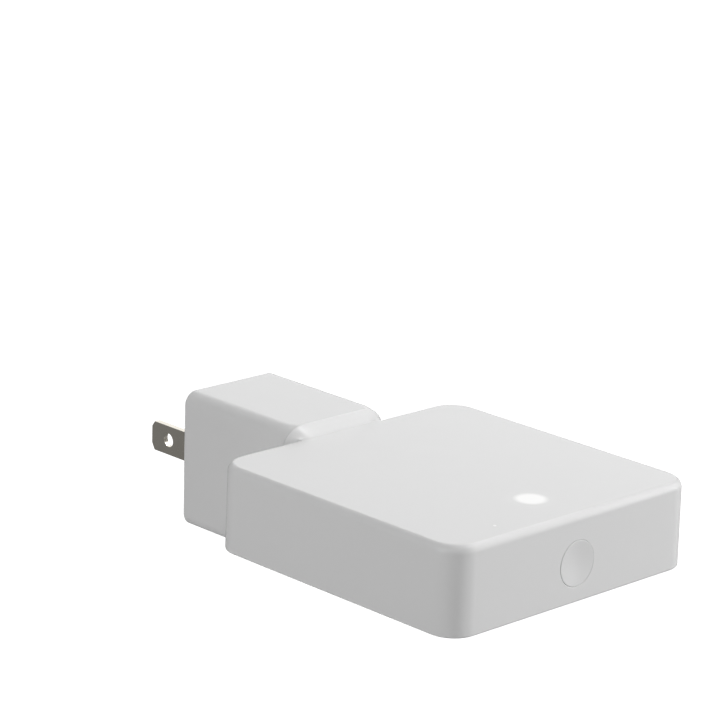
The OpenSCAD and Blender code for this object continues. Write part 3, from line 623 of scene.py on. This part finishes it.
def build_shell():
    """Outer form, hollowed, with its details, the button's guide bore, key slot and room for its switch."""
    inside = FRONT_Y + WALL     # each cutter starts a little deeper than the last, so that no two share a plane
    bm = combine(outer_form(), [("DIFFERENCE", h) for h in hollow()]
                 + [("UNION", shell_details()), ("DIFFERENCE", shell_bores()),
                    ("DIFFERENCE", tube(6.0, inside + 0.02, inside + 4, (0, 0, BUTTON_Z), "Y", 72)),
                    ("DIFFERENCE", slab((-1.0, inside + 0.03, BUTTON_Z), (1.0, inside + 3, BUTTON_Z + 7.2))),
                    ("DIFFERENCE", slab((-8, inside + 0.04, BOTTOM_Z - 1), (8, inside + 3, BOTTOM_Z + 2.1))),
                    ("DIFFERENCE", button_cutter())])
    box_top = max(bm.faces, key=lambda f: f.calc_area())
    bmesh.ops.poke(bm, faces=[box_top])     # triangles from its middle, in place of one face of many corners
    return piece("Case_Shell", bm, "case", "white_shell", "main_shell")


def slot_outline(cx, cy, w, l, steps=6):
    """Slot of width w and length l along Y with round ends."""
    r, h = w / 2, (l - w) / 2
    return [(cx + x, cy + h + y) for x, y in arc(0, 0, r, 0, 180, steps)] + \
           [(cx + x, cy - h + y) for x, y in arc(0, 0, r, 180, 360, steps)]


def ring(cx, cy, r, steps, last):
    """Circle of steps + 1 points whose last one is at an angle of last degrees."""
    return [(cx + r * c, cy + r * s) for c, s in arc(0, 0, 1, 0, last, steps)]


def flared_cutter(make, depth, lip):
    """Cutter up through the underside with a rounded lip. make(extra) gives the hole's outline grown by extra."""
    rings = [[(x, y, BOTTOM_Z - 1.0) for x, y in make(lip + 0.1)]]
    for sine, drop in quarter(4):
        rings.append([(x, y, BOTTOM_Z + lip * drop) for x, y in make(lip * (1 - sine))])
    rings.append([(x, y, BOTTOM_Z + depth) for x, y in make(0)])
    return loft_mesh(rings)


def cover_region():
    """The cover's own outline inside the shell: box panel, step and neck panel, smaller by the seam all round."""
    w = NECK_IN - GAP
    neck_end, low, inner = BACK_Y + WALL, NECK_BOTTOM - 1, BOTTOM_Z + WALL
    return [prism(inner_panel(WALL + GAP), BOTTOM_Z - 1, inner),
            slab((-w, BACK_Y - 2 * WALL, BOTTOM_Z), (w, neck_end, inner)),
            slab((-w, BACK_Y - 0.5, low), (w, neck_end, inner - 0.01)),
            slab((-w, BACK_Y - 0.49, low), (w, 1, NECK_BOTTOM + WALL))]


def cover_posts():
    """Posts under the main board on the screw lines, and four under the power board."""
    posts = [tube(3.0, BOTTOM_Z + 1.0, -2.1, (x, y, 0), "Z", 40) for x, y in SCREWS]
    (_, board_front, board_z), (_, board_back, _) = box_mm("power_pcb")
    half = 1.3
    for side in (-1, 1):
        for y in (board_back - 2 * half, board_front + 2 * half):
            x = side * (NECK_IN - 2)
            posts.append(slab((x - half, y - half, NECK_BOTTOM + 1.0), (x + half, y + half, board_z), 0.12))
    return posts


def cover_cuts():
    """Screw recesses, two rows of vent slots, the reset hole and the label's shallow recess."""
    through, vent_pitch, vent_w = WALL + 1, 3.0, 1.3
    cuts = []
    for x, y in SCREWS:
        cuts.append(flared_cutter(lambda e, x=x, y=y: ring(x, y, SCREW_HEAD_BORE_R + e, 35, 350), 1.9, 0.3))
    for y, length in ((BACK_Y - 12, 15.0), (FRONT_Y + 13, 9.0)):
        for i in range(-4, 5):
            cuts.append(flared_cutter(
                lambda e, x=i * vent_pitch, y=y, l=length: slot_outline(x, y, vent_w + 2 * e, l + 2 * e),
                through, 0.25))
    reset_x, reset_y, _ = middle(*box_mm("reset_switch_plunger"))
    cuts.append(flared_cutter(lambda e: ring(reset_x, reset_y, 0.8 + e, 23, 345), through, 0.25))
    lo, hi = box_mm("rating_label")
    hw, hd, label_y = (hi[0] - lo[0]) / 2 + GAP, (hi[1] - lo[1]) / 2 + GAP, (lo[1] + hi[1]) / 2
    corner = LABEL_R + GAP
    cuts.append(flared_cutter(
        lambda e: [(x, y + label_y) for x, y in round_rect(hw + e, hd + e, corner + e, 8)], 0.3, 0.1))
    return cuts


def build_cover():
    """Part of the outer form inside the cover's outline, with posts inside and recesses and holes from below."""
    form, *others = cover_region()
    form = combine(form, [("UNION", other) for other in others])
    body = combine(outer_form(), [("INTERSECT", form)])
    bores = [tube(SCREW_SHANK_BORE_R, BOTTOM_Z - 1, 0, (x, y, 0), "Z", 32) for x, y in SCREWS]
    bm = combine(body, [("UNION", merged(*cover_posts())), ("DIFFERENCE", merged(*cover_cuts())),
                        ("DIFFERENCE", merged(*bores))])
    return piece("Bottom_Cover", bm, "case", "white_cover", "bottom_cover")


def build_button():
    """Cap with a dish inside a soft border and a round edge, its flange, key and stem."""
    face, r, edge, drop_in, dish, dish_r = FRONT_Y + 0.02, 4.59, 0.16, 0.09, 0.36, 4.4
    flange_r, flange_front, flange_back = 5.6, 1.8, 2.6
    stem_r, stem_edge = 1.6, 0.2
    dish_steps = 20
    profile = []
    for i in range(dish_steps + 1):
        q = i / dish_steps
        profile.append((dish_r * q, dish * (1 - smoothstep(0.0, 1.0, q) * 0.35 - q * q * 0.65)))
    profile += [(r - edge + edge * sine, drop_in * drop) for sine, drop in quarter(6)]
    back = box_mm("wps_button")[1][1] - face
    profile += [(r, flange_front - 0.3), (flange_r, flange_front), (flange_r, flange_back), (stem_r, flange_back),
                (stem_r, back - stem_edge), (stem_r - stem_edge, back), (0, back)]
    bm = revolve(profile, (0, face, BUTTON_Z), "Y", 96)
    key = slab((-0.7, face + flange_front + 0.01, BUTTON_Z), (0.7, face + flange_back - 0.01, BUTTON_Z + 6.6), 0.1)
    bm = combine(bm, [("UNION", key)])
    return piece("WPS_Button_Cap", bm, "wps_button", "white_button", "wps_button")


def build_blade(node, name):
    """Flat blade with a tapered tip, round edges, a countersunk lock hole and a narrow tail for its lead."""
    (x0, _, _), (x1, end, _) = box_mm(node)
    w, tip, taper, tail_w, tail_y = BLADE_W / 2, 1.3, 0.4, 1.5, -6.2
    outline = [(tail_y, -tail_w), (BLADE_NECK_Y, -tail_w), (BLADE_NECK_Y, -w), (end - tip, -w), (end, tip - w),
               (end, w - tip), (end - tip, w), (BLADE_NECK_Y, w), (BLADE_NECK_Y, tail_w), (tail_y, tail_w)]
    bm = prism(outline, x0, x1, "X")
    for v in bm.verts:
        if abs(v.co.y - end * MM) < 1e-6:
            v.co.x += taper * MM if v.co.x < (x0 + x1) / 2 * MM else -taper * MM
    bmesh.ops.bevel(bm, geom=[e for e in bm.edges if e.calc_face_angle(0) > 0.3], offset=0.14 * MM, segments=2,
                    affect="EDGES", profile=0.5)
    sink = 0.15
    profile = [(BLADE_HOLE_R + 0.4, x0 - 0.5), (BLADE_HOLE_R + sink, x0), (BLADE_HOLE_R, x0 + sink),
               (BLADE_HOLE_R, x1 - sink), (BLADE_HOLE_R + sink, x1), (BLADE_HOLE_R + 0.4, x1 + 0.5)]
    cutter = revolve([(0, profile[0][1])] + profile + [(0, profile[-1][1])], (0, BLADE_HOLE_Y, 0), "X", 40)
    bm = combine(bm, [("DIFFERENCE", cutter)])
    return piece(name, bm, "case", "nickel_blade", node)


def blade_groove(x):
    """Cutter for the shallow chamfered groove round a blade in the plug base's face."""
    rings = []
    for extra, y in ((0.75, 0.5), (0.75, 0.0), (0.6, -0.25)):
        outline = round_rect(BLADE_T / 2 + extra, BLADE_W / 2 + extra, 0.2 + extra, 4)
        rings.append([(u + x, y, v) for u, v in outline])
    return loft_mesh(rings)


def build_plug_base():
    """Plate that closes the neck at the wall, with a round rim and slots for the blades."""
    (_, _, z0), (hw, _, z1) = box_mm("plug_base")
    play = 0.01
    outline = [(x, z + (z0 + z1) / 2) for x, z in round_rect(hw, (z1 - z0) / 2, 0.9, 6)]
    plate = prism(outline, -PLUG_BASE_T, 0, "Y", 0.25, 3)
    boss = slab((-8.5, -2 * PLUG_BASE_T, -5), (8.5, -PLUG_BASE_T + 0.5, 5), 0.3)
    cuts = []
    for side in (-1, 1):
        x = side * BLADE_PITCH / 2
        half_t, half_w = BLADE_T / 2 + play, BLADE_W / 2 + play
        cuts.append(slab((x - half_t, -6, -half_w), (x + half_t, 1, half_w)))
        cuts.append(blade_groove(x))
    bm = combine(plate, [("UNION", boss)] + [("DIFFERENCE", c) for c in cuts])
    return piece("Plug_Base", bm, "case", "plug_base_plastic", "plug_base")


def build_screws():
    """Pan heads with a cross recess, on threaded shanks."""
    (_, _, foot), (_, _, tip) = box_mm("case_screws")
    head_h, head_r, neck_r, root_r, crest_r, pitch = 1.5, 2.0, 1.1, 0.85, 1.08, 0.55
    seat = foot + head_h
    parts = []
    for x, y in SCREWS:
        profile = [(0, foot)] + [(neck_r + 0.9 * sine, foot + 0.5 * drop) for sine, drop in quarter(5)]
        profile += [(head_r, seat), (neck_r, seat)]
        z = seat + 0.3
        while z < tip - 0.7:
            profile += [(root_r, z), (crest_r, z + 0.2), (crest_r, z + 0.26), (root_r, z + 0.46)]
            z += pitch
        profile += [(0.75, tip - 0.4), (0.3, tip), (0, tip)]
        screw = revolve(profile, (x, y, 0), "Z", 32)
        arm, half, deep = 1.2, 0.25, seat - 0.75
        cross = [slab((x - arm, y - half, seat - 2.5), (x + arm, y + half, deep)),
                 slab((x - half, y - arm, seat - 2.5), (x + half, y + arm, deep - 0.001))]
        parts.append(combine(screw, [("DIFFERENCE", c) for c in cross]))
    return piece("Case_Screws", merged(*parts), "case", "screw_steel", "case_screws")


def build_label():
    """Blank label in its recess."""
    lo, hi = box_mm("rating_label")
    cx, cy, _ = middle(lo, hi)
    outline = [(x + cx, y + cy) for x, y in round_rect((hi[0] - lo[0]) / 2, (hi[1] - lo[1]) / 2, LABEL_R, 8)]
    bm = prism(outline, lo[2], hi[2], "Z", 0.04)
    return piece("Rating_Label", bm, "case", "label", "rating_label")


build_shell()
build_cover()
build_button()
build_blade("plug_blade_left", "Plug_Blade_Left")
build_blade("plug_blade_right", "Plug_Blade_Right")
build_plug_base()
build_screws()
build_label()

# ---- inner parts keep their CAD shape, with their own materials ----
node_slot = {p["node"]: p["material_slot"] for p in frame["record"]["subparts"]}
for name, obj in frame["nodes"].items():
    if not obj.hide_render:
        obj.data.materials.clear()
        obj.data.materials.append(MATERIALS[node_slot[name]])

# ---- camera, at the photograph's angle ----
FOCAL_LENGTH, SENSOR_WIDTH = 150.66, 36
EYE = Vector((-402.54, -452.01, 196.89)) * MM
PITCH, YAW, ROLL = math.radians(16.34), math.radians(44.26), math.radians(1.90)
forward = Vector((math.sin(YAW) * math.cos(PITCH), math.cos(YAW) * math.cos(PITCH), -math.sin(PITCH)))
level = Vector((math.cos(YAW), -math.sin(YAW), 0))
up = level.cross(forward)
right = level * math.cos(ROLL) + up * math.sin(ROLL)
up = up * math.cos(ROLL) - level * math.sin(ROLL)
cam = bpy.data.objects.new("Camera", bpy.data.cameras.new("Camera"))
cam.data.lens = FOCAL_LENGTH
cam.data.sensor_width = SENSOR_WIDTH
cam.data.clip_start, cam.data.clip_end = 0.05, 50
cam.matrix_world = Matrix(((right.x, up.x, -forward.x, EYE.x), (right.y, up.y, -forward.y, EYE.y),
                           (right.z, up.z, -forward.z, EYE.z), (0, 0, 0, 1)))
bpy.context.scene.collection.objects.link(cam)
bpy.context.scene.camera = cam


# ---- floor and light ----
CENTRE = Vector((0, -0.06, 0.003))
AMBIENT = 0.2           # light from all round; the camera sees the backdrop as plain white
FLOOR_Z = -0.7
FLOOR_R = 12.0
# name, direction it comes from, distance and size in metres, power in watts, whether it shows in reflections
LIGHTS = [
    ("Key", (0.663, -0.383, 0.643), 0.4, 0.3, 0.46, True),
    ("Key_Soft", (0.406, -0.406, 0.819), 1.2, 0.5, 3.0, True),
    ("Top_Back", (0.62, 0.27, 0.735), 0.4, 0.1, 0.2, True),
    ("Sheen", (0.641, 0.641, 0.423), 0.4, 0.3, 0.28, True),
    ("Side_Fill", (-0.94, 0.0, 0.342), 0.4, 0.3, 0.56, True),
    ("Overhead", (0.087, -0.15, 0.985), 1.2, 0.5, 0.4, True),
    ("Front_Fill", (0.77, -0.632, 0.087), 1.2, 0.5, 5.3, False),
    ("Edge_Sheen", (0.8, -0.57, 0.17), 1.2, 0.5, 1.4, True),
    ("Low_Fill", (0.0, -0.906, -0.423), 1.2, 0.5, 2.4, False),
    ("Left_Fill", (-0.863, 0.498, 0.087), 1.2, 0.5, 1.2, False),
    ("Back_Fill", (0.3, 0.85, -0.42), 1.2, 0.5, 2.6, False),
    ("Under_Fill", (-0.2, 0.25, -0.947), 1.2, 0.6, 2.0, False),
]


def area_light(name, direction, distance, size, power, reflected):
    """Square light that shines at CENTRE and isn't seen by the camera."""
    data = bpy.data.lights.new(name, "AREA")
    data.shape = "RECTANGLE"
    data.size = data.size_y = size
    data.energy = power
    obj = bpy.data.objects.new(name, data)
    d = Vector(direction).normalized()
    obj.location = CENTRE + d * distance
    obj.rotation_euler = d.to_track_quat("Z", "Y").to_euler()
    obj.visible_camera = False
    obj.visible_glossy = reflected
    bpy.context.scene.collection.objects.link(obj)


def make_floor():
    """Plain white floor, far below, that the camera sees and that casts no light on the object."""
    bm = bmesh.new()
    bmesh.ops.create_circle(bm, cap_ends=True, segments=64, radius=FLOOR_R)
    obj = scene_object(bm, "Floor")
    obj.location = (0, 0, FLOOR_Z)
    g = Graph("Floor_White")
    g.set(Base_Color=(0.93, 0.93, 0.93, 1), Roughness=g.ramp(g.noise(30.0), 0.75, 0.85),
          Emission_Color=(1, 1, 1, 1), Emission_Strength=1.0)
    obj.data.materials.append(g.mat)
    obj.visible_diffuse = obj.visible_glossy = obj.visible_transmission = obj.visible_shadow = False


def make_world():
    """White all round to the camera, and a dim even light on the object."""
    world = bpy.data.worlds.new("Studio")
    bpy.context.scene.world = world
    world.use_nodes = True
    tree = world.node_tree
    background = tree.nodes["Background"]
    background.inputs["Color"].default_value = (1, 1, 1, 1)
    seen = tree.nodes.new("ShaderNodeLightPath").outputs["Is Camera Ray"]
    brightness = tree.nodes.new("ShaderNodeMath")
    brightness.operation = "MULTIPLY_ADD"
    tree.links.new(seen, brightness.inputs[0])
    brightness.inputs[1].default_value, brightness.inputs[2].default_value = 1 - AMBIENT, AMBIENT
    tree.links.new(brightness.outputs[0], background.inputs["Strength"])


for settings in LIGHTS:
    area_light(*settings)
make_floor()
make_world()
bpy.context.scene.view_settings.view_transform = "Standard"
bpy.context.scene.view_settings.look = "None"
